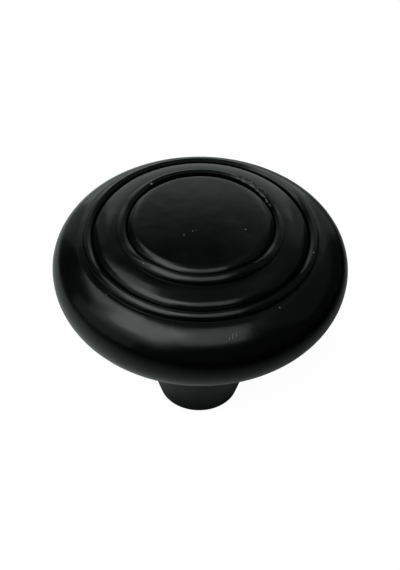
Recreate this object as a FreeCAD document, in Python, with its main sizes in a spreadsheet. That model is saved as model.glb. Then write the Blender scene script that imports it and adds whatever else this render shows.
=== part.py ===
"""Cabinet knob: one casting with a ringed mushroom head on a stem that narrows to a small flat foot.

Millimetres, +Z up out of the cabinet face. The origin is the middle of the foot, on the cabinet face.
The rim line is the height at which the head is widest, and heights on the head are measured from it.
"""
import FreeCAD, Part
import math
import os

import Sketcher

SIZES = {
    # stem
    "foot_radius": 5.25,
    "stem_half_angle": 16.2,
    "foot_edge_rounding": 0.25,
    # outer bead of the head, widest at the rim line
    "head_radius": 19.0,
    "rim_above_foot": 21.75,
    "bead_drop": 4.8,
    "bead_tuck": 3.54,
    "bead_reach": 6.61,
    "bead_width": 3.9,
    "bead_rise": 4.96,
    # ring between the two grooves, each step taken from the lip's foot or the edge outside it
    "ring_step": 0.73,
    "ring_width": 3.15,
    "ring_rise": 1.09,
    "ring_crown_radius": 6.3,
    "ring_edge_rounding": 1.5,
    # crowned disc in the middle, as wide as the bead, the ring, the lips and the grooves leave it
    "disc_step": 1.03,
    "disc_crown": 0.48,
    "disc_edge_rounding": 1.4,
    # the two narrow grooves, each with a raised lip along its outer side that rounds down to its foot
    "outer_groove_width": 0.4,
    "outer_lip_width": 0.9,
    "outer_lip_rise": 0.82,
    "outer_lip_rounding": 0.68,
    "inner_groove_width": 0.19,
    "inner_lip_width": 1.1,
    "inner_lip_rise": 1.0,
    "inner_lip_rounding": 0.85,
    "lip_nose_rounding": 0.12,
    "groove_depth": 1.55,
    # blind tapped hole in the foot
    "screw_hole_depth": 13.0,
    "screw_mouth_diameter": 4.4,
    "screw_mouth_angle": 90.0,
    "drill_point_angle": 118.0,
}
SCREW_THREAD = "ISOMetricProfile"
SCREW_SIZE = "M4x0.7"

JOINT_ANGLE = 45.0        # degrees from the rim line at which the two arcs of each bead half meet
SAME_PLACE = 1e-4
ORIGIN, VERTICAL_AXIS = range(-1, -3, -1)        # as a sketch numbers them
START, END, CENTRE = range(1, 4)                 # the points of an edge, as a sketch numbers them
END_NAMES = {START: "start", END: "end", CENTRE: "centre"}
UP = FreeCAD.Vector(0, 0, 1)

doc = FreeCAD.newDocument("cabinet_knob")

sheet = doc.addObject("Spreadsheet::Sheet", "sizes")
for row, (alias, size) in enumerate(SIZES.items(), start=1):
    sheet.set(f"A{row}", alias)
    sheet.set(f"B{row}", str(size))
    sheet.setAlias(f"B{row}", alias)
doc.recompute()


def place(*terms):
    """A sum of named sizes, as the sheet's expression and as its value; a leading minus takes one away."""
    rule = ""
    value = 0.0
    for term in terms:
        name = term.removeprefix("-")
        sign = "-" if term.startswith("-") else "+"
        rule += f" {sign} sizes.{name}"
        value += -SIZES[name] if sign == "-" else SIZES[name]
    return rule.removeprefix(" + "), value


def origin_plane(body, role):
    return next(item for item in body.Origin.OriginFeatures if item.Role == role)


def new_sketch(body, name, role):
    sketch = body.newObject("Sketcher::SketchObject", name)
    sketch.AttachmentSupport = [(origin_plane(body, role), "")]
    sketch.MapMode = "FlatFace"
    return sketch


def bind(sketch, constraint, name, rule):
    """Add a constraint, name it and drive it from the sheet."""
    index = sketch.addConstraint(constraint)
    sketch.renameConstraint(index, name)
    sketch.setExpression(f"Constraints.{name}", rule)


def spot(across, up):
    return FreeCAD.Vector(across, up, 0)


def corner(places):
    """The point at a pair of places, one across and one up."""
    return spot(places[0][1], places[1][1])


def line(start, end):
    return Part.LineSegment(start, end)


def arc(centre, start, end):
    """The arc about centre from start to end, turning to the left."""
    first = math.atan2(start.y - centre.y, start.x - centre.x)
    last = math.atan2(end.y - centre.y, end.x - centre.x)
    return Part.ArcOfCircle(Part.Circle(centre, UP, centre.distanceToPoint(start)), first, last)


def oval_radii(reach, rise):
    """The rim radius and the crest radius of a quarter oval of two arcs that meet at the joint angle."""
    across = math.cos(math.radians(JOINT_ANGLE))
    along = math.sin(math.radians(JOINT_ANGLE))
    rim_radius = (rise * across - reach * (1 - along)) / (along * across - (1 - across) * (1 - along))
    crest_radius = (reach - rim_radius * (1 - across)) / across
    return rim_radius, crest_radius


def round_ring(body, size, *corners):
    """Round the ring-shaped edges that pass through these corners of the section by the named size."""
    base = body.Tip
    rings = []
    for index, edge in enumerate(base.Shape.Edges, start=1):
        if edge.Degenerated or not isinstance(edge.Curve, Part.Circle):
            continue
        ring = spot(edge.Curve.Radius, edge.Curve.Center.z)
        if any(ring.isEqual(corner(places), SAME_PLACE) for places in corners):
            rings.append(f"Edge{index}")
    if len(rings) != len(corners):
        raise RuntimeError(f"{size}: {len(rings)} edges at {len(corners)} places")
    fillet = body.newObject("PartDesign::Fillet", size)
    fillet.Base = (base, rings)
    fillet.setExpression("Radius", f"sizes.{size}")
    doc.recompute()


# The head's radii, counted inwards from the rim, and its heights, counted upwards from the rim line
TO_OUTER_FOOT = ("head_radius", "-bead_width")
TO_OUTER_NOSE = (*TO_OUTER_FOOT, "-outer_lip_width")
TO_RING = (*TO_OUTER_NOSE, "-outer_groove_width")
TO_INNER_FOOT = (*TO_RING, "-ring_width")
TO_INNER_NOSE = (*TO_INNER_FOOT, "-inner_lip_width")
TO_DISC = (*TO_INNER_NOSE, "-inner_groove_width")
UP_TO_OUTER_FOOT = ("rim_above_foot", "bead_rise")
UP_TO_OUTER_LIP = (*UP_TO_OUTER_FOOT, "outer_lip_rise")
UP_TO_RING = (*UP_TO_OUTER_FOOT, "ring_step")
UP_TO_INNER_FOOT = (*UP_TO_RING, "ring_rise")
UP_TO_INNER_LIP = (*UP_TO_INNER_FOOT, "inner_lip_rise")
UP_TO_DISC = (*UP_TO_INNER_FOOT, "disc_step")

# Radii and heights that several features share, each a sum of the driving sizes
foot_edge = (place("foot_radius"), ("0", 0.0))
bead_bottom = (place("head_radius", "-bead_tuck"), place("rim_above_foot", "-bead_drop"))
rim = (place("head_radius"), place("rim_above_foot"))
bead_crest = place("head_radius", "-bead_reach")
outer_foot = (place(*TO_OUTER_FOOT), place(*UP_TO_OUTER_FOOT))
outer_shoulder = (place(*TO_OUTER_FOOT), place(*UP_TO_OUTER_LIP))
outer_nose = (place(*TO_OUTER_NOSE), place(*UP_TO_OUTER_LIP))
outer_floor = place(*UP_TO_OUTER_LIP, "-groove_depth")
ring_edge = (place(*TO_RING), place(*UP_TO_RING))
inner_foot = (place(*TO_INNER_FOOT), place(*UP_TO_INNER_FOOT))
inner_shoulder = (place(*TO_INNER_FOOT), place(*UP_TO_INNER_LIP))
inner_nose = (place(*TO_INNER_NOSE), place(*UP_TO_INNER_LIP))
inner_floor = place(*UP_TO_INNER_LIP, "-groove_depth")
disc_edge = (place(*TO_DISC), place(*UP_TO_DISC))
disc_top = place(*UP_TO_DISC, "disc_crown")

knob = doc.addObject("PartDesign::Body", "knob")
knob.Label = "knob"
knob.Placement = FreeCAD.Placement()

# Half section of the casting, drawn from the middle of the foot round to the top of the disc
section = new_sketch(knob, "half_section", "XZ_Plane")


def pin(name, end, across=None, up=None):
    """Hold one end, or the centre, of an edge of the section at its radius and its height."""
    for kind, place_on_axis in (("DistanceX", across), ("DistanceY", up)):
        if place_on_axis:
            rule, value = place_on_axis
            constraint = Sketcher.Constraint(kind, ORIGIN, START, number[name], end, value)
            bind(section, constraint, f"{name}_{END_NAMES[end]}_{kind}", rule)


def centre_upright(name, end):
    section.addConstraint(Sketcher.Constraint("Vertical", number[name], end, number[name], CENTRE))


def centre_level(name, end):
    section.addConstraint(Sketcher.Constraint("Horizontal", number[name], end, number[name], CENTRE))


foot_point = corner(foot_edge)
bottom_point = corner(bead_bottom)
rim_point = corner(rim)
top_point = spot(0.0, disc_top[1])

# The stem is a cone, and a hollow arc leads it out to the bottom of the bead
stem_lean = math.radians(SIZES["stem_half_angle"])
flare_corner = foot_point.x + bottom_point.y * math.tan(stem_lean)
flare_reach = bottom_point.x - flare_corner
flare_radius = flare_reach * math.tan((math.pi / 2 + stem_lean) / 2)
flare_centre = bottom_point - spot(0.0, flare_radius)
stem_direction = spot(math.sin(stem_lean), math.cos(stem_lean))
flare_point = spot(flare_corner, bottom_point.y) - stem_direction * flare_reach

# Each half of the bead is a quarter oval of two arcs
joint_lean = spot(math.cos(math.radians(JOINT_ANGLE)), math.sin(math.radians(JOINT_ANGLE)))
joint_dip = spot(joint_lean.x, -joint_lean.y)
low_rim_radius, roll_radius = oval_radii(SIZES["bead_tuck"], SIZES["bead_drop"])
low_centre = rim_point - spot(low_rim_radius, 0.0)
roll_centre = bottom_point + spot(0.0, roll_radius)
low_joint = low_centre + joint_dip * low_rim_radius

bead_point = corner(outer_foot)
crest_share = 1 - SIZES["bead_width"] / SIZES["bead_reach"]
crest_rise = SIZES["bead_rise"] / math.sqrt(1 - crest_share ** 2)
high_rim_radius, crest_radius = oval_radii(SIZES["bead_reach"], crest_rise)
high_centre = rim_point - spot(high_rim_radius, 0.0)
crest_centre = spot(bead_crest[1], rim_point.y + crest_rise - crest_radius)
high_joint = high_centre + joint_lean * high_rim_radius


def groove_edges(foot, shoulder, nose, floor, edge):
    """One groove from the outside in: the lip's flank and top, outer wall, half-round floor, inner wall."""
    outer_end, inner_end = spot(nose[0][1], floor[1]), spot(edge[0][1], floor[1])
    return [
        line(corner(foot), corner(shoulder)),
        line(corner(shoulder), corner(nose)),
        line(corner(nose), outer_end),
        arc((outer_end + inner_end) / 2, inner_end, outer_end),
        line(inner_end, corner(edge)),
    ]


outer_edges = groove_edges(outer_foot, outer_shoulder, outer_nose, outer_floor, ring_edge)
inner_edges = groove_edges(inner_foot, inner_shoulder, inner_nose, inner_floor, disc_edge)

# The ring is an arc from its edge to the foot of the inner lip, and the disc is the cap of a wide ball
ring_outside, ring_inside = corner(ring_edge), corner(inner_foot)
ring_chord = ring_inside - ring_outside
ring_depth = math.sqrt(SIZES["ring_crown_radius"] ** 2 - (ring_chord.Length / 2) ** 2)
chord_normal = spot(-ring_chord.y, ring_chord.x) / ring_chord.Length
ring_centre = (ring_outside + ring_inside) / 2 + chord_normal * ring_depth
disc_point = corner(disc_edge)
ball_radius = (disc_point.x ** 2 + SIZES["disc_crown"] ** 2) / (2 * SIZES["disc_crown"])

outline = [
    ("foot", line(spot(0.0, 0.0), foot_point)),
    ("cone", line(foot_point, flare_point)),
    ("flare", arc(flare_centre, bottom_point, flare_point)),
    ("roll", arc(roll_centre, bottom_point, low_joint)),
    ("low_rim", arc(low_centre, low_joint, rim_point)),
    ("high_rim", arc(high_centre, rim_point, high_joint)),
    ("crest", arc(crest_centre, high_joint, bead_point)),
    *zip(("outer_flank", "outer_top", "outer_wall", "outer_floor", "ring_wall"), outer_edges),
    ("ring", arc(ring_centre, ring_outside, ring_inside)),
    *zip(("inner_flank", "inner_top", "inner_wall", "inner_floor", "disc_wall"), inner_edges),
    ("disc", arc(top_point - spot(0.0, ball_radius), disc_point, top_point)),
    ("axis", line(top_point, spot(0.0, 0.0))),
]
number = {name: index for index, (name, edge) in enumerate(outline)}
section.addGeometry([edge for name, edge in outline], False)

# The outline closes: each edge starts where the one before it ends, and only hollow arcs are drawn backwards
hollow = {"flare", "outer_floor", "inner_floor"}
smooth = {"cone", "roll", "high_rim"}
names = [name for name, edge in outline]
for name, following in zip(names, names[1:] + names[:1]):
    leave = START if name in hollow else END
    meet = END if following in hollow else START
    kind = "Tangent" if name in smooth else "Coincident"
    section.addConstraint(Sketcher.Constraint(kind, number[name], leave, number[following], meet))
section.addConstraint(Sketcher.Constraint("Coincident", number["foot"], START, ORIGIN, START))
section.addConstraint(Sketcher.Constraint("Horizontal", number["foot"]))
section.addConstraint(Sketcher.Constraint("Vertical", number["axis"]))

# Foot, stem and flare
pin("foot", END, across=foot_edge[0])
bind(section, Sketcher.Constraint("Angle", number["cone"], math.pi / 2 - stem_lean), "stem_lean",
     "(90 - sizes.stem_half_angle) * 1 deg")
pin("roll", START, *bead_bottom)
centre_upright("flare", START)
centre_upright("roll", START)

# Bead: upright at the rim, with both halves jointed on lines through their centres
pin("low_rim", END, *rim)
centre_level("low_rim", END)
centre_level("high_rim", START)
pin("crest", CENTRE, across=bead_crest)
for rim_arc, joint_end, centre, joint, angle in (
    ("low_rim", START, low_centre, low_joint, -JOINT_ANGLE),
    ("high_rim", END, high_centre, high_joint, JOINT_ANGLE),
):
    spoke = section.addGeometry(line(centre, joint), True)
    section.addConstraint(Sketcher.Constraint("Coincident", spoke, START, number[rim_arc], CENTRE))
    section.addConstraint(Sketcher.Constraint("Coincident", spoke, END, number[rim_arc], joint_end))
    section.addConstraint(Sketcher.Constraint("Angle", spoke, math.radians(angle)))

# Grooves and lips, with the floors springing level
for side, foot, shoulder, nose, floor, edge in (
    ("outer", outer_foot, outer_shoulder, outer_nose, outer_floor, ring_edge),
    ("inner", inner_foot, inner_shoulder, inner_nose, inner_floor, disc_edge),
):
    pin(f"{side}_flank", START, *foot)
    pin(f"{side}_flank", END, *shoulder)
    pin(f"{side}_top", END, *nose)
    pin(f"{side}_floor", START, edge[0], floor)
    pin(f"{side}_floor", END, nose[0], floor)
    centre_level(f"{side}_floor", START)

# Ring and disc
pin("ring", START, *ring_edge)
crown_radius = Sketcher.Constraint("Radius", number["ring"], SIZES["ring_crown_radius"])
bind(section, crown_radius, "ring_crown", "sizes.ring_crown_radius")
pin("disc", START, *disc_edge)
pin("disc", END, up=disc_top)
section.addConstraint(Sketcher.Constraint("PointOnObject", number["disc"], CENTRE, VERTICAL_AXIS))
doc.recompute()

casting = knob.newObject("PartDesign::Revolution", "casting")
casting.Profile = section
casting.ReferenceAxis = (section, ["V_Axis"])
casting.Angle = 360
doc.recompute()

# Edges broken and rounded as they leave the mould and take their coat
round_ring(knob, "disc_edge_rounding", disc_edge)
round_ring(knob, "ring_edge_rounding", ring_edge)
round_ring(knob, "outer_lip_rounding", outer_shoulder)
round_ring(knob, "inner_lip_rounding", inner_shoulder)
round_ring(knob, "lip_nose_rounding", outer_nose, inner_nose)
round_ring(knob, "foot_edge_rounding", foot_edge)

# Blind tapped hole up the middle of the stem, with a countersunk mouth; its wall is the tapping drill's
uncut_volume = knob.Shape.Volume
hole_spot = new_sketch(knob, "screw_hole_spot", "XY_Plane")
hole_spot.addGeometry(Part.Circle(spot(0.0, 0.0), UP, SIZES["screw_mouth_diameter"] / 2), False)
hole_spot.addConstraint(Sketcher.Constraint("Coincident", 0, CENTRE, ORIGIN, START))
bind(hole_spot, Sketcher.Constraint("Diameter", 0, SIZES["screw_mouth_diameter"]), "mouth",
     "sizes.screw_mouth_diameter")
doc.recompute()

screw_hole = knob.newObject("PartDesign::Hole", "screw_hole")
screw_hole.Profile = hole_spot
screw_hole.Reversed = True
screw_hole.ThreadType = SCREW_THREAD
screw_hole.ThreadSize = SCREW_SIZE
screw_hole.Threaded = True
screw_hole.DepthType = "Dimension"
screw_hole.setExpression("Depth", "sizes.screw_hole_depth")
screw_hole.DrillPoint = "Angled"
screw_hole.setExpression("DrillPointAngle", "sizes.drill_point_angle")
screw_hole.HoleCutType = "Countersink"
screw_hole.HoleCutCustomValues = True
screw_hole.setExpression("HoleCutDiameter", "sizes.screw_mouth_diameter")
screw_hole.setExpression("HoleCutCountersinkAngle", "sizes.screw_mouth_angle")
knob.Tip = screw_hole
doc.recompute()

# Nothing is written unless every feature worked, the hole was cut and the solid is whole
for item in doc.Objects:
    if "Invalid" in item.State or "Error" in item.State:
        raise RuntimeError(f"{item.Label} failed: {item.State}")
if knob.Shape.isNull() or not knob.Shape.isValid() or len(knob.Shape.Solids) != 1:
    raise RuntimeError("the knob isn't one valid solid")
if not knob.Shape.Volume < uncut_volume:
    raise RuntimeError("the screw hole cut nothing")

os.makedirs("parts", exist_ok=True)
knob.Shape.exportStep(f"parts/{knob.Label}.step")
print(f"{knob.Label}: {knob.Shape.Volume:.0f} mm3, hole {screw_hole.Diameter.Value:.2f} mm wide")
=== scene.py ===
"""Cabinet knob with a ringed mushroom head, in a black satin coat, standing on white paper."""
import math

import bpy
from mathutils import Matrix, Vector


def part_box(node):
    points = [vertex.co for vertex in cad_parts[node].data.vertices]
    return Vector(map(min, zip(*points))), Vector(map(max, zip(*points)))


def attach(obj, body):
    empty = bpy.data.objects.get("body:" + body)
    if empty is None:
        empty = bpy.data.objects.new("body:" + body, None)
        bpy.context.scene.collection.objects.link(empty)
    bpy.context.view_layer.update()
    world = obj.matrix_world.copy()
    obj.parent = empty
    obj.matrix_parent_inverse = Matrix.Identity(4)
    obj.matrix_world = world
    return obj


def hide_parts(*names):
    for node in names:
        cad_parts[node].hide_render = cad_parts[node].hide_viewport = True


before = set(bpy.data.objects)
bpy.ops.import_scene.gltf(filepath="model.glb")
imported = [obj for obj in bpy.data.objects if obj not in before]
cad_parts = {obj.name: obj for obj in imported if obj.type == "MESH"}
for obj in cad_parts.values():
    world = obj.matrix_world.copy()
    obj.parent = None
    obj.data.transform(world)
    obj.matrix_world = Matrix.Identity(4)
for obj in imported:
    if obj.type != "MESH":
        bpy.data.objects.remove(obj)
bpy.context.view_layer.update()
bpy.ops.object.select_all(action="DESELECT")
MM = 0.001


# Camera
# A long lens looks down on the head from the front, turned a little about its own axis. It is aimed a
# little below the rim, so that the stem has room under the head.
IMAGE_HEIGHT = 570
SENSOR = 36.0
LENS_IN_PIXELS = 2500.0
HEAD_ROW = 266.0                    # image row of the middle of the rim line
RIM_HEIGHT = 21.75 * MM
CAMERA_DISTANCE = 321.4 * MM
CAMERA_ELEVATION = 43.5
CAMERA_ROLL = 0.78
CLIP_START = 10 * MM

aim_down = math.degrees(math.atan((IMAGE_HEIGHT / 2 - HEAD_ROW) / LENS_IN_PIXELS))
elevation = math.radians(CAMERA_ELEVATION)
head_middle = Vector((0, 0, RIM_HEIGHT))
camera_spot = head_middle + CAMERA_DISTANCE * Vector((0, -math.cos(elevation), math.sin(elevation)))
pitch = math.radians(90 - CAMERA_ELEVATION - aim_down)

bpy.ops.object.camera_add(location=camera_spot)
camera = bpy.context.object
camera.name = "camera"
camera.matrix_world = (
    Matrix.Translation(camera_spot)
    @ Matrix.Rotation(pitch, 4, "X")
    @ Matrix.Rotation(math.radians(CAMERA_ROLL), 4, "Z")
)
camera.data.sensor_width = SENSOR
camera.data.lens = LENS_IN_PIXELS / IMAGE_HEIGHT * SENSOR
camera.data.clip_start = CLIP_START
bpy.context.scene.camera = camera
bpy.context.scene.view_settings.view_transform = "Standard"


# Paper floor
# A sheet of white paper, matt, lying flat. It looks white to the camera and still takes the knob's faint
# shadow. The black coat mirrors it as the lamps light it, with a painted pool of light that is bright at
# the left and back and fades away from there, and painted shade close round the foot.
PAPER_RADIUS = 140 * MM
PAPER_SIDES = 96
PAPER_HEX = "#F4F4F2"
PAPER_GLOW = 1.15
PAPER_GLOW_SHARE = 0.84
# A painted pool of light and painted shade round the foot, seen only in what the coat mirrors of the paper
PAINTED_POOL_MIDDLE = Vector((-38 * MM, 32 * MM, 0))
PAINTED_POOL_INNER = 38 * MM
PAINTED_POOL_OUTER = 104 * MM
FOOT_SHADE_INNER = 5 * MM
FOOT_SHADE_OUTER = 8 * MM
FOOT_SHADE = 0.4
MIX_COLOUR_A, MIX_COLOUR_B = 6, 7   # inputs of a mix node that mixes colours
MIX_COLOUR_RESULT = 2               # and its output


def linear(code):
    """An sRGB hex colour as linear values with an alpha of 1."""
    shares = [int(code[i:i + 2], 16) / 255 for i in (1, 3, 5)]
    return (*(s / 12.92 if s <= 0.04045 else ((s + 0.055) / 1.055) ** 2.4 for s in shares), 1.0)


def add_node(tree, kind, settings=None, inputs=None):
    """A node with its settings; an input takes a plain value, or an output to be linked to it."""
    node = tree.nodes.new(kind)
    for name, value in (settings or {}).items():
        setattr(node, name, value)
    for name, value in (inputs or {}).items():
        if isinstance(value, bpy.types.NodeSocket):
            tree.links.new(value, node.inputs[name])
        else:
            node.inputs[name].default_value = value
    return node


def new_material(name):
    material = bpy.data.materials.new(name)
    material.use_nodes = True
    material.node_tree.nodes.clear()
    return material, material.node_tree


def add_ray_kinds(tree):
    """The light path node, and an output that is 1 for rays from the camera, straight or through glass."""
    kinds = add_node(tree, "ShaderNodeLightPath")
    looked_at = add_node(tree, "ShaderNodeMath", {"operation": "MAXIMUM"}, {
        0: kinds.outputs["Is Camera Ray"], 1: kinds.outputs["Is Transmission Ray"]})
    return kinds, looked_at.outputs[0]


paper, tree = new_material("white_paper")
ray_kinds, looked_at = add_ray_kinds(tree)
glow_share = add_node(tree, "ShaderNodeMath", {"operation": "MULTIPLY"}, {0: looked_at, 1: PAPER_GLOW_SHARE})
place = add_node(tree, "ShaderNodeTexCoord")
# For glossy rays the paper's colour is multiplied by a painted pool of light and by painted shade round the
# foot
from_painted_pool = add_node(tree, "ShaderNodeVectorMath", {"operation": "DISTANCE"}, {
    0: place.outputs["Object"], 1: PAINTED_POOL_MIDDLE})
painted_pool = add_node(tree, "ShaderNodeMapRange", {"interpolation_type": "SMOOTHSTEP"}, {
    "Value": from_painted_pool.outputs["Value"], "From Min": PAINTED_POOL_INNER, "From Max": PAINTED_POOL_OUTER,
    "To Min": 1.0, "To Max": 0.0})
from_axis = add_node(tree, "ShaderNodeVectorMath", {"operation": "LENGTH"}, {0: place.outputs["Object"]})
foot_shade = add_node(tree, "ShaderNodeMapRange", {"interpolation_type": "SMOOTHSTEP"}, {
    "Value": from_axis.outputs["Value"], "From Min": FOOT_SHADE_INNER, "From Max": FOOT_SHADE_OUTER,
    "To Min": FOOT_SHADE, "To Max": 1.0})
painted_pool_and_shade = add_node(tree, "ShaderNodeMath", {"operation": "MULTIPLY"}, {
    0: painted_pool.outputs["Result"], 1: foot_shade.outputs["Result"]})
mirrored_painted_light = add_node(tree, "ShaderNodeMapRange", {}, {
    "Value": ray_kinds.outputs["Is Glossy Ray"], "To Min": 1.0, "To Max": painted_pool_and_shade.outputs[0]})
paper_colour_with_painted_light = add_node(tree, "ShaderNodeMix", {"data_type": "RGBA"}, {
    0: mirrored_painted_light.outputs["Result"], MIX_COLOUR_A: (0, 0, 0, 1), MIX_COLOUR_B: linear(PAPER_HEX)})
fibres = add_node(tree, "ShaderNodeBsdfDiffuse", {}, {
    "Color": paper_colour_with_painted_light.outputs[MIX_COLOUR_RESULT], "Roughness": 1.0})
glow = add_node(tree, "ShaderNodeEmission", {}, {"Strength": PAPER_GLOW})
sheet = add_node(tree, "ShaderNodeMixShader", {}, {
    "Fac": glow_share.outputs[0], 1: fibres.outputs[0], 2: glow.outputs[0]})
add_node(tree, "ShaderNodeOutputMaterial", {}, {"Surface": sheet.outputs[0]})

bpy.ops.mesh.primitive_circle_add(vertices=PAPER_SIDES, radius=PAPER_RADIUS, fill_type="NGON")
floor = bpy.context.object
floor.name = "paper_floor"
floor.data.materials.append(paper)
bpy.ops.object.select_all(action="DESELECT")


# Lamps and room
# A long soft box hangs high up on the camera's side, stronger at its left end, and a panel hangs beside it
# at the left. A bright board stands behind the paper. The walls and the ceiling give back a little light,
# and the rest of the room is dim.
LAMP_HEX = "#F3FFFA"
ROOM_HEX = "#262827"
SURROUND_HEX = "#E7E7E7"            # what the camera sees beyond the paper

# name, azimuth from the camera's side towards the left, elevation, distance, width, height, radiance
LAMPS = [
    ("soft_box_left", 55, 53, 0.9, 0.64, 0.53, 1.75),
    ("soft_box_left_glow", 58, 44, 0.9, 0.95, 0.66, 0.5),
    ("soft_box_right", -12, 59, 0.9, 0.66, 0.51, 1.05),
    ("left_panel", 109, 55, 0.9, 0.36, 0.54, 1.15),
    ("left_wall", 72, 10, 0.9, 0.90, 0.50, 0.22),
    ("right_wall", -115, 42, 0.9, 1.30, 0.90, 0.06),
    ("back_board", 178, 10, 0.7, 0.60, 0.70, 0.45),
    ("back_board_glow", 178, 14, 0.7, 1.15, 0.80, 0.18),
    ("ceiling", 0, 88, 1.2, 1.40, 1.40, 0.07),
]

for name, azimuth, height_angle, distance, width, height, radiance in LAMPS:
    across, up = math.radians(azimuth), math.radians(height_angle)
    direction = Vector((-math.sin(across) * math.cos(up), -math.cos(across) * math.cos(up), math.sin(up)))
    bpy.ops.object.light_add(type="AREA", location=head_middle + distance * direction)
    lamp = bpy.context.object
    lamp.name = name
    lamp.rotation_euler = direction.to_track_quat("Z", "Y").to_euler()
    lamp.data.shape = "RECTANGLE"
    lamp.data.size = width
    lamp.data.size_y = height
    lamp.data.energy = radiance * math.pi * width * height
    lamp.data.color = linear(LAMP_HEX)[:3]
    lamp.visible_camera = False
bpy.ops.object.select_all(action="DESELECT")

room = bpy.data.worlds.new("room")
bpy.context.scene.world = room
room.use_nodes = True
tree = room.node_tree
tree.nodes.clear()
_, looked_at = add_ray_kinds(tree)
dim = add_node(tree, "ShaderNodeBackground", {}, {"Color": linear(ROOM_HEX)})
light = add_node(tree, "ShaderNodeBackground", {}, {"Color": linear(SURROUND_HEX)})
surroundings = add_node(tree, "ShaderNodeMixShader", {}, {
    "Fac": looked_at, 1: dim.outputs[0], 2: light.outputs[0]})
add_node(tree, "ShaderNodeOutputWorld", {}, {"Surface": surroundings.outputs[0]})


# Knob casting
# The head and the stem are one zinc alloy die casting, black coated and baked. The mould's grooves
# keep a thin lip along their outer side, and the coat rounds every edge.
SEGMENTS = 384
WELD_DISTANCE = 0.001 * MM
SMOOTH_BELOW = math.radians(30)
_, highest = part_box("knob")

# Points of the section are given as distance from the axis and height, and arcs by their radius
HEAD_RADIUS = highest.x
TOP = RIM_HEIGHT + 8.29 * MM
FOOT_RADIUS = 5.25 * MM
STEM_HALF_ANGLE = math.radians(16.2)
FOOT_ROUNDING = 0.25 * MM
BEAD_BOTTOM = Vector((HEAD_RADIUS - 3.375 * MM, RIM_HEIGHT - 5.03 * MM))
BEAD_LOW_RIM = 6.2 * MM
BEAD_ROLL = 2.205 * MM
BEAD_HIGH_RIM = 4.67 * MM
BEAD_CREST = 7.414 * MM
BEAD_JOINT = math.radians(45)
OUTER_FOOT = Vector((15.1 * MM, RIM_HEIGHT + 4.80 * MM))
SHOULDER_SLOPE = math.radians(10)
SHOULDER_ROUNDING = 1.6 * MM
SHOULDER_END = 15.95 * MM
OUTER_CREST = Vector((14.45 * MM, RIM_HEIGHT + 5.78 * MM))
OUTER_LIP_SPRING = RIM_HEIGHT + 5.1 * MM
OUTER_WALL = 14.0 * MM
OUTER_FACE = 1.3 * MM
RING_EDGE = Vector((13.8 * MM, RIM_HEIGHT + 5.69 * MM))
INNER_FOOT = Vector((10.72 * MM, RIM_HEIGHT + 6.77 * MM))
INNER_CREST = Vector((9.95 * MM, RIM_HEIGHT + 7.78 * MM))
INNER_LIP_SPRING = RIM_HEIGHT + 6.93 * MM
INNER_WALL = 9.54 * MM
INNER_FACE = 1.55 * MM
DISC_EDGE = Vector((9.42 * MM, RIM_HEIGHT + 7.80 * MM))
RING_CROWN = 6.3 * MM
RING_ROUNDING = 1.5 * MM
DISC_ROUNDING = 1.4 * MM
GROOVE_DEPTH = 1.55 * MM
LIP_BACK_SLOPE = math.radians(27)
LIP_FACE_FROM = math.radians(24)
LIP_FACE_TO = math.radians(54)
MOUTH_RADIUS = 2.2 * MM
THREAD_OUTER_RADIUS = 2.0 * MM
TAP_RADIUS = 1.65 * MM
HOLE_DEPTH = 13.0 * MM
DRILL_POINT_ANGLE = 118
THREAD_DEPTH = 11.8 * MM


class Pen:
    """Draws a half section in the XZ plane, straight by extruding the last point and round by spinning it."""

    def __init__(self, start):
        self.at = Vector(start)
        bpy.ops.mesh.primitive_plane_add(size=MM, location=(start[0], 0, start[1]))
        bpy.ops.object.mode_set(mode="EDIT")
        bpy.ops.mesh.select_mode(type="VERT")
        bpy.ops.mesh.merge(type="CENTER")

    def line(self, end, steps=1):
        step = (Vector(end) - self.at) / steps
        for _ in range(steps):
            bpy.ops.mesh.extrude_region_move(TRANSFORM_OT_translate={"value": (step.x, 0, step.y)})
        self.at = Vector(end)

    def arc(self, centre, end, steps):
        """A turn about centre, the short way round, until the point is in line with end."""
        centre = Vector(centre)
        angle = (self.at - centre).angle_signed(Vector(end) - centre)
        bpy.ops.mesh.spin(steps=steps, angle=angle, center=(centre.x, 0, centre.y), axis=(0, -1, 0))
        self.at = Vector(end)


def polar(centre, radius, angle):
    return centre + radius * Vector((math.cos(angle), math.sin(angle)))


def centre_under(outer, inner, radius):
    """The centre of the arc of that radius that bulges up and outwards between two points."""
    chord = inner - outer
    depth = math.sqrt(radius ** 2 - (chord.length / 2) ** 2)
    return (inner + outer) / 2 + depth * Vector((-chord.y, chord.x)).normalized()


def rounded_edge(centre, radius, wall, rounding):
    """An edge rounding between an arc and the upright wall outside it: its centre and its end on the arc."""
    across = wall - rounding - centre.x
    corner = centre + Vector((across, math.sqrt((radius - rounding) ** 2 - across ** 2)))
    return corner, polar(centre, radius, math.atan2(corner.y - centre.y, across))


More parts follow.
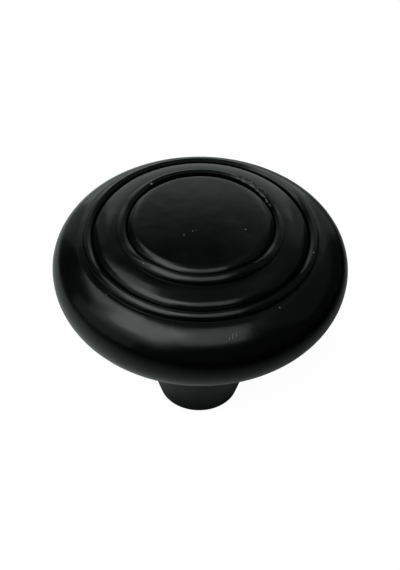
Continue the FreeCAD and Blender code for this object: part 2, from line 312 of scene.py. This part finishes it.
def draw_groove(pen, wall, crest, spring, foot, face):
    """From the wall inside the groove: round floor, outer wall, and the lip from its back to its foot."""
    inner = pen.at.x
    floor = crest.y - GROOVE_DEPTH
    middle = (inner + wall) / 2
    pen.line((inner, floor), steps=3)
    pen.arc((middle, floor), (middle, floor - (wall - inner) / 2), steps=3)
    pen.arc((middle, floor), (wall, floor), steps=3)
    pen.line((wall, crest.y - (crest.x - wall) * math.tan(LIP_BACK_SLOPE)), steps=4)
    pen.line(crest, steps=3)

    # The lip's front is a tight turn, a broad face that leans outwards, and a turn down to the foot. The
    # radii of both turns follow from the width and height that the face leaves
    lean = Vector((math.sin(LIP_FACE_FROM), math.cos(LIP_FACE_FROM)))
    dip = Vector((math.sin(LIP_FACE_TO), math.cos(LIP_FACE_TO)))
    across = foot.x - crest.x - face * (dip.x - lean.x)
    down = crest.y - spring - face * (lean.y - dip.y)
    turn = (down * lean.x - across * (1 - lean.y)) / (dip.y * lean.x - (1 - dip.x) * (1 - lean.y))
    top_turn = (across - turn * (1 - dip.x)) / lean.x
    top_centre = crest - Vector((0, top_turn))
    face_centre = top_centre + (top_turn - face) * lean
    turn_centre = face_centre + (face - turn) * dip
    pen.arc(top_centre, top_centre + top_turn * lean, steps=4)
    pen.arc(face_centre, face_centre + face * dip, steps=8)
    pen.arc(turn_centre, (foot.x, spring), steps=4)
    pen.line(foot, steps=2)


# The disc is the cap of a wide ball, and the ring is crowned
crown = TOP - DISC_EDGE.y
ball = (DISC_EDGE.x ** 2 + crown ** 2) / (2 * crown)
ball_centre = Vector((0, TOP - ball))
disc_corner, disc_end = rounded_edge(ball_centre, ball, DISC_EDGE.x, DISC_ROUNDING)
ring_centre = centre_under(RING_EDGE, INNER_FOOT, RING_CROWN)
ring_corner, ring_end = rounded_edge(ring_centre, RING_CROWN, RING_EDGE.x, RING_ROUNDING)

# Each half of the bead is two arcs that meet in line with both centres
rim = Vector((HEAD_RADIUS, RIM_HEIGHT))
high_centre = rim - Vector((BEAD_HIGH_RIM, 0))
high_joint = polar(high_centre, BEAD_HIGH_RIM, BEAD_JOINT)
crest_centre = polar(high_joint, BEAD_CREST, BEAD_JOINT + math.pi)
low_centre = rim - Vector((BEAD_LOW_RIM, 0))
low_joint = polar(low_centre, BEAD_LOW_RIM, -BEAD_JOINT)

# Beside the outer lip the bead begins with a narrow flat land that turns into its crest
shoulder_tilt = math.asin((SHOULDER_END - crest_centre.x) / BEAD_CREST)
shoulder_end = polar(crest_centre, BEAD_CREST, math.pi / 2 - shoulder_tilt)
shoulder_centre = polar(shoulder_end, SHOULDER_ROUNDING, -math.pi / 2 - shoulder_tilt)
shoulder_start = polar(shoulder_centre, SHOULDER_ROUNDING, math.pi / 2 - SHOULDER_SLOPE)

pen = Pen((0, TOP))
knob_casting = bpy.context.object
knob_casting.name = "knob_casting"
pen.arc(ball_centre, disc_end, steps=20)
pen.arc(disc_corner, (DISC_EDGE.x, disc_corner.y), steps=10)
draw_groove(pen, INNER_WALL, INNER_CREST, INNER_LIP_SPRING, INNER_FOOT, INNER_FACE)
pen.arc(ring_centre, ring_end, steps=9)
pen.arc(ring_corner, (RING_EDGE.x, ring_corner.y), steps=9)
draw_groove(pen, OUTER_WALL, OUTER_CREST, OUTER_LIP_SPRING, OUTER_FOOT, OUTER_FACE)
pen.line(shoulder_start, steps=3)
pen.arc(shoulder_centre, shoulder_end, steps=8)
pen.arc(crest_centre, high_joint, steps=14)
pen.arc(high_centre, rim, steps=12)
pen.arc(low_centre, low_joint, steps=12)
pen.arc(BEAD_BOTTOM + Vector((0, BEAD_ROLL)), BEAD_BOTTOM, steps=10)

# The flare touches the bead's bottom and the stem's cone
flare_corner = FOOT_RADIUS + BEAD_BOTTOM.y * math.tan(STEM_HALF_ANGLE)
flare_radius = (BEAD_BOTTOM.x - flare_corner) * math.tan((math.pi / 2 + STEM_HALF_ANGLE) / 2)
flare_centre = BEAD_BOTTOM - Vector((0, flare_radius))
flare_end = polar(flare_centre, flare_radius, math.pi - STEM_HALF_ANGLE)
foot_rounding_angle = math.pi / 2 - STEM_HALF_ANGLE
foot_corner_x = FOOT_RADIUS - FOOT_ROUNDING * math.tan(foot_rounding_angle / 2 + STEM_HALF_ANGLE)
foot_corner = Vector((foot_corner_x, FOOT_ROUNDING))
pen.arc(flare_centre, flare_end, steps=14)
pen.line(polar(foot_corner, FOOT_ROUNDING, -STEM_HALF_ANGLE), steps=18)
pen.arc(foot_corner, (foot_corner_x, 0), steps=5)
pen.line((MOUTH_RADIUS, 0), steps=3)

# The bore: a countersunk mouth, the length for the thread, the tapping drill's end and its point
pen.line((THREAD_OUTER_RADIUS, MOUTH_RADIUS - THREAD_OUTER_RADIUS))
pen.line((THREAD_OUTER_RADIUS, THREAD_DEPTH), steps=4)
pen.line((TAP_RADIUS, THREAD_DEPTH))
pen.line((TAP_RADIUS, HOLE_DEPTH))
pen.line((0, HOLE_DEPTH + TAP_RADIUS / math.tan(math.radians(DRILL_POINT_ANGLE / 2))), steps=2)

bpy.ops.mesh.select_all(action="SELECT")
bpy.ops.mesh.spin(steps=SEGMENTS, angle=2 * math.pi, center=(0, 0, 0), axis=(0, 0, 1), use_auto_merge=True)
bpy.ops.mesh.select_all(action="SELECT")
bpy.ops.mesh.remove_doubles(threshold=WELD_DISTANCE)
bpy.ops.mesh.normals_make_consistent(inside=False)
bpy.ops.object.mode_set(mode="OBJECT")
bpy.ops.object.transform_apply(location=True, rotation=True, scale=True)

# At the knob's left and right the lips are lower, and the inner one nearly fades out: with only its own
# vertices in view, each lip sinks there towards the height of its foot
INNER_LOW_SHARE = 0.30
OUTER_LOW_SHARE = 0.65
LOW_LIP_HALF_WIDTH = 3.0 * MM
LOW_LIP_FADE = 7.0 * MM
PICK_MARGIN = 0.01 * MM


def pick(piece, wanted):
    """Selects the vertices in view that pass a test, coming from edit mode and going back to it."""
    bpy.ops.mesh.select_all(action="DESELECT")
    bpy.ops.object.mode_set(mode="OBJECT")
    for vertex in piece.data.vertices:
        vertex.select = not vertex.hide and wanted(vertex.co)
    bpy.ops.object.mode_set(mode="EDIT")


def sink_at_the_sides(piece, wall, foot, share):
    """Lowers the lip between a groove's wall and the lip's foot to a share of its height at both sides."""
    pick(piece, lambda spot: spot.z > foot.y - PICK_MARGIN
         and wall - PICK_MARGIN < math.hypot(spot.x, spot.y) < foot.x + PICK_MARGIN)
    bpy.ops.mesh.hide(unselected=True)
    pick(piece, lambda spot: abs(spot.y) < LOW_LIP_HALF_WIDTH)
    bpy.ops.transform.resize(
        value=(1, 1, share), center_override=(0, 0, foot.y), use_proportional_edit=True,
        proportional_edit_falloff="SMOOTH", proportional_size=LOW_LIP_FADE)
    bpy.ops.mesh.reveal(select=False)


bpy.ops.object.mode_set(mode="EDIT")
bpy.ops.mesh.select_mode(type="VERT")
sink_at_the_sides(knob_casting, INNER_WALL, INNER_FOOT, INNER_LOW_SHARE)
sink_at_the_sides(knob_casting, OUTER_WALL, OUTER_FOOT, OUTER_LOW_SHARE)
bpy.ops.object.mode_set(mode="OBJECT")

# The casting isn't dead true: its surface wavers by up to a few hundredths of a millimetre, always inwards
WAVER_PITCH = 3.2 * MM
WAVER_DEPTH = 0.03 * MM
RIPPLE_PITCH = 1.1 * MM
RIPPLE_DEPTH = 0.007 * MM


def waver(piece, name, pitch, depth):
    ripples = bpy.data.textures.new(name, "CLOUDS")
    ripples.noise_scale = pitch
    ripples.noise_depth = 1
    uneven = piece.modifiers.new(name, "DISPLACE")
    uneven.texture = ripples
    uneven.texture_coords = "LOCAL"
    uneven.strength = depth
    uneven.mid_level = 1.0
    bpy.ops.object.modifier_apply(modifier=name)


waver(knob_casting, "mould_waver", WAVER_PITCH, WAVER_DEPTH)
waver(knob_casting, "coat_ripple", RIPPLE_PITCH, RIPPLE_DEPTH)
bpy.ops.object.shade_smooth_by_angle(angle=SMOOTH_BELOW)


# Black satin coat
# Baked powder coat over the casting: near black all through, with a soft sheen, a faint orange peel
# from the flow of the powder, and a slightly uneven gloss.
COAT_HEX = "#050606"
COAT_IOR = 1.5
COAT_ROUGHNESS = 0.21
ROUGHNESS_SPREAD = 0.05
PEEL_PITCH = 1.4 * MM
PEEL_HEIGHT = 0.011 * MM
GRAIN_PITCH = 0.3 * MM
GRAIN_HEIGHT = 0.0006 * MM
GLOSS_PATCH = 5 * MM
NOISE_LOW, NOISE_HIGH = 0.3, 0.7    # most of the noise lies between these

coat, tree = new_material("black_satin_powder_coat")
place = add_node(tree, "ShaderNodeTexCoord")
peel = add_node(tree, "ShaderNodeTexNoise", {"normalize": True}, {
    "Vector": place.outputs["Object"], "Scale": 1 / PEEL_PITCH, "Detail": 1.0})
grain = add_node(tree, "ShaderNodeTexNoise", {"normalize": True}, {
    "Vector": place.outputs["Object"], "Scale": 1 / GRAIN_PITCH, "Detail": 2.0})
patches = add_node(tree, "ShaderNodeTexNoise", {"normalize": True}, {
    "Vector": place.outputs["Object"], "Scale": 1 / GLOSS_PATCH, "Detail": 2.0})
gloss = add_node(tree, "ShaderNodeMapRange", {}, {
    "Value": patches.outputs["Fac"], "From Min": NOISE_LOW, "From Max": NOISE_HIGH,
    "To Min": COAT_ROUGHNESS - ROUGHNESS_SPREAD, "To Max": COAT_ROUGHNESS + ROUGHNESS_SPREAD})
peel_bump = add_node(tree, "ShaderNodeBump", {}, {
    "Height": peel.outputs["Fac"], "Distance": PEEL_HEIGHT, "Strength": 1.0})
grain_bump = add_node(tree, "ShaderNodeBump", {}, {
    "Height": grain.outputs["Fac"], "Distance": GRAIN_HEIGHT, "Strength": 1.0,
    "Normal": peel_bump.outputs["Normal"]})
surface = add_node(tree, "ShaderNodeBsdfPrincipled", {}, {
    "Base Color": linear(COAT_HEX), "Roughness": gloss.outputs["Result"], "IOR": COAT_IOR,
    "Normal": grain_bump.outputs["Normal"]})
add_node(tree, "ShaderNodeOutputMaterial", {}, {"Surface": surface.outputs[0]})
knob_casting.data.materials.append(coat)


# Screw thread
# The M4 thread is cut in the bare metal after the coat is baked, so it and the bore around it are grey
# zinc alloy, dulled a little by cutting oil.
THREAD_PITCH = 0.7 * MM
THREAD_ROOT = 2.04 * MM
THREAD_START = 0.25 * MM
THREAD_TURNS = 16
THREAD_STEPS = 40
TOOTH_CREST_FROM, TOOTH_CREST_TO, TOOTH_END = 0.30, 0.55, 0.85    # shares of the pitch
ZINC_HEX = "#A9ABAA"
ZINC_ROUGHNESS = 0.38
TURNING_PITCH = 0.12 * MM
TURNING_HEIGHT = 0.004 * MM
WAVE_PERIOD = 0.314                 # of the wave texture at a scale of 1

pen = Pen((THREAD_ROOT, THREAD_START))
screw_thread = bpy.context.object
screw_thread.name = "screw_thread"
pen.line((TAP_RADIUS, THREAD_START + TOOTH_CREST_FROM * THREAD_PITCH))
pen.line((TAP_RADIUS, THREAD_START + TOOTH_CREST_TO * THREAD_PITCH))
pen.line((THREAD_ROOT, THREAD_START + TOOTH_END * THREAD_PITCH))
pen.line((THREAD_ROOT, THREAD_START))
bpy.ops.mesh.select_all(action="SELECT")
bpy.ops.mesh.remove_doubles(threshold=WELD_DISTANCE)
bpy.ops.object.mode_set(mode="OBJECT")
bpy.ops.object.transform_apply(location=True, rotation=True, scale=True)
coil = screw_thread.modifiers.new("coil", "SCREW")
coil.axis = "Z"
coil.screw_offset = THREAD_PITCH
coil.iterations = THREAD_TURNS
coil.steps = THREAD_STEPS
coil.render_steps = THREAD_STEPS
coil.use_merge_vertices = False
bpy.ops.object.modifier_apply(modifier="coil")
bpy.ops.object.mode_set(mode="EDIT")
bpy.ops.mesh.select_all(action="SELECT")
bpy.ops.mesh.remove_doubles(threshold=WELD_DISTANCE)
bpy.ops.mesh.fill_holes(sides=0)
bpy.ops.mesh.select_all(action="SELECT")
bpy.ops.mesh.normals_make_consistent(inside=False)
bpy.ops.object.mode_set(mode="OBJECT")
bpy.ops.object.shade_smooth_by_angle(angle=SMOOTH_BELOW)

zinc, tree = new_material("bare_cut_zinc_alloy")
place = add_node(tree, "ShaderNodeTexCoord")
turning = add_node(tree, "ShaderNodeTexWave", {"wave_type": "BANDS", "bands_direction": "Z"}, {
    "Vector": place.outputs["Object"], "Scale": WAVE_PERIOD / TURNING_PITCH, "Distortion": 1.0})
turning_bump = add_node(tree, "ShaderNodeBump", {}, {
    "Height": turning.outputs["Fac"], "Distance": TURNING_HEIGHT, "Strength": 1.0})
surface = add_node(tree, "ShaderNodeBsdfPrincipled", {}, {
    "Base Color": linear(ZINC_HEX), "Metallic": 1.0, "Roughness": ZINC_ROUGHNESS,
    "Normal": turning_bump.outputs["Normal"]})
add_node(tree, "ShaderNodeOutputMaterial", {}, {"Surface": surface.outputs[0]})
screw_thread.data.materials.append(zinc)


# Nibs, torn lip with painted highlights and shade, and scratches
# Specks of grit that settled in the coat stand up as pale nibs. At the back right the inner lip came out of
# the
# mould torn: grey slivers on it are painted highlights, and matt black slivers beside them are painted shade.
# Short scratches cross the bead's front.
DUST_HEX, DUST_ROUGHNESS = "#8A8F8B", 0.5
# The grey of the torn lip's slivers is a painted highlight
GLINT_CHIP_HEX, GLINT_CHIP_ROUGHNESS = "#585D5A", 0.3
# The matt black of the pits is painted shade along the lip's crest
SHADE_PIT_HEX, SHADE_PIT_ROUGHNESS = "#040404", 0.9

# across, along, radius in millimetres
NIBS = [
    (-6.4, 7.3, 0.20), (-1.0, -2.3, 0.10), (-2.1, -3.0, 0.11), (5.65, -1.7, 0.12), (14.3, -2.9, 0.14),
    (-7.1, -7.5, 0.09), (9.9, -12.2, 0.11), (5.9, -7.2, 0.08), (4.9, -16.0, 0.06), (-0.6, -2.2, 0.06),
    (-11.6, -10.3, 0.07),
]
NIB_WIDTH, NIB_HEIGHT = 0.8, 0.4    # shares of its length

# angle about the knob's axis in degrees, distance from it, length, width in millimetres
# Torn lip slivers, coloured grey as painted highlights
GLINT_CHIPS = [
    (61, 9.66, 0.7, 0.22), (56, 9.68, 0.9, 0.40), (48, 9.70, 1.2, 0.34), (42, 9.66, 0.7, 0.24),
    (36, 9.70, 1.3, 0.32), (30, 9.66, 0.9, 0.26), (25, 9.68, 0.5, 0.24),
]
# Matt black slivers on the torn lip's crest, as painted shade
PAINTED_SHADE_PITS = [
    (60, 10.02, 1.0, 0.24), (54, 10.10, 1.3, 0.26), (47, 10.12, 1.4, 0.24), (40, 10.16, 1.3, 0.28),
    (33, 10.22, 1.4, 0.26), (27, 10.30, 1.0, 0.22),
]
SCRATCHES = [(-76.0, 17.00, 0.9, 0.10), (-74.4, 16.90, 0.8, 0.08), (-77.6, 17.20, 0.5, 0.08)]
ALONG_GROOVE = 0.0
ACROSS_BEAD = math.radians(80)
MARK_TWIST = 0.10
SPECK_RINGS = 8
SPECK_SEGMENTS = 12


def matt_speck(name, code, roughness):
    material, tree = new_material(name)
    surface = add_node(tree, "ShaderNodeBsdfPrincipled", {}, {
        "Base Color": linear(code), "Roughness": roughness, "IOR": COAT_IOR})
    add_node(tree, "ShaderNodeOutputMaterial", {}, {"Surface": surface.outputs[0]})
    return material


def set_in_coat(name, x, y, size, turn, material):
    """A flattened grain, half sunk in the surface at one place of the plan and lying along it."""
    bpy.context.view_layer.update()
    _, spot, normal, _ = knob_casting.ray_cast(Vector((x, y, 2 * TOP)), Vector((0, 0, -1)))
    bpy.ops.mesh.primitive_uv_sphere_add(segments=SPECK_SEGMENTS, ring_count=SPECK_RINGS, radius=1)
    speck = bpy.context.object
    speck.name = name
    sunk = spot - normal * size.z / 2
    upright = Vector((0, 0, 1)).rotation_difference(normal).to_matrix().to_4x4()
    along = Matrix.Rotation(turn, 4, "Z")
    speck.matrix_world = Matrix.Translation(sunk) @ upright @ along @ Matrix.Diagonal((*size, 1))
    bpy.ops.object.transform_apply(location=True, rotation=True, scale=True)
    bpy.ops.object.shade_smooth()
    speck.data.materials.append(material)
    return speck


dust = matt_speck("grit_in_coat", DUST_HEX, DUST_ROUGHNESS)
# The torn lip's slivers: grey ones are painted highlights, matt black ones are painted shade
painted_glint_chips = matt_speck("torn_lip_painted_glint", GLINT_CHIP_HEX, GLINT_CHIP_ROUGHNESS)
painted_shade_pits = matt_speck("torn_lip_painted_shade", SHADE_PIT_HEX, SHADE_PIT_ROUGHNESS)
specks = []
for number, (x, y, radius) in enumerate(NIBS):
    size = radius * MM * Vector((1, NIB_WIDTH, NIB_HEIGHT))
    turn = number                   # in radians, so that no two nibs lie alike
    specks.append(set_in_coat(f"nib_{number}", x * MM, y * MM, size, turn, dust))
marks = [("painted_glint_chip", painted_glint_chip, ALONG_GROOVE, painted_glint_chips) for painted_glint_chip in GLINT_CHIPS]
marks += [("painted_shade_pit", painted_shade_pit, ALONG_GROOVE, painted_shade_pits) for painted_shade_pit in PAINTED_SHADE_PITS]
marks += [("scratch", scratch, ACROSS_BEAD, dust) for scratch in SCRATCHES]
for number, (kind, (angle, distance, length, width), heading, material) in enumerate(marks):
    place = polar(Vector((0, 0)), distance * MM, math.radians(angle))
    size = Vector((width / 2, length / 2, width / 2)) * MM
    turn = math.radians(angle) + heading + MARK_TWIST * (-1) ** number
    specks.append(set_in_coat(f"{kind}_{number}", place.x, place.y, size, turn, material))


# Finished knob
# The thread is cut in the casting's own metal, and the grit, the torn lip's slivers of painted highlight and
# shade, and the scratches lie in its coat, so all of it is one piece. The bore's wall is bare metal like the
# thread.
BORE_MARGIN = 0.02 * MM
BORE_TOP = HOLE_DEPTH + 2 * MM

bpy.ops.object.select_all(action="DESELECT")
knob_casting.select_set(True)
bpy.context.view_layer.objects.active = knob_casting
knob_casting.data.materials.append(zinc)
for face in knob_casting.data.polygons:
    in_bore = math.hypot(face.center.x, face.center.y) < THREAD_OUTER_RADIUS + BORE_MARGIN
    if in_bore and face.center.z < BORE_TOP:
        face.material_index = 1
screw_thread.select_set(True)
for speck in specks:
    speck.select_set(True)
bpy.ops.object.join()
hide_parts("knob")
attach(knob_casting, "root")
bpy.ops.object.select_all(action="DESELECT")
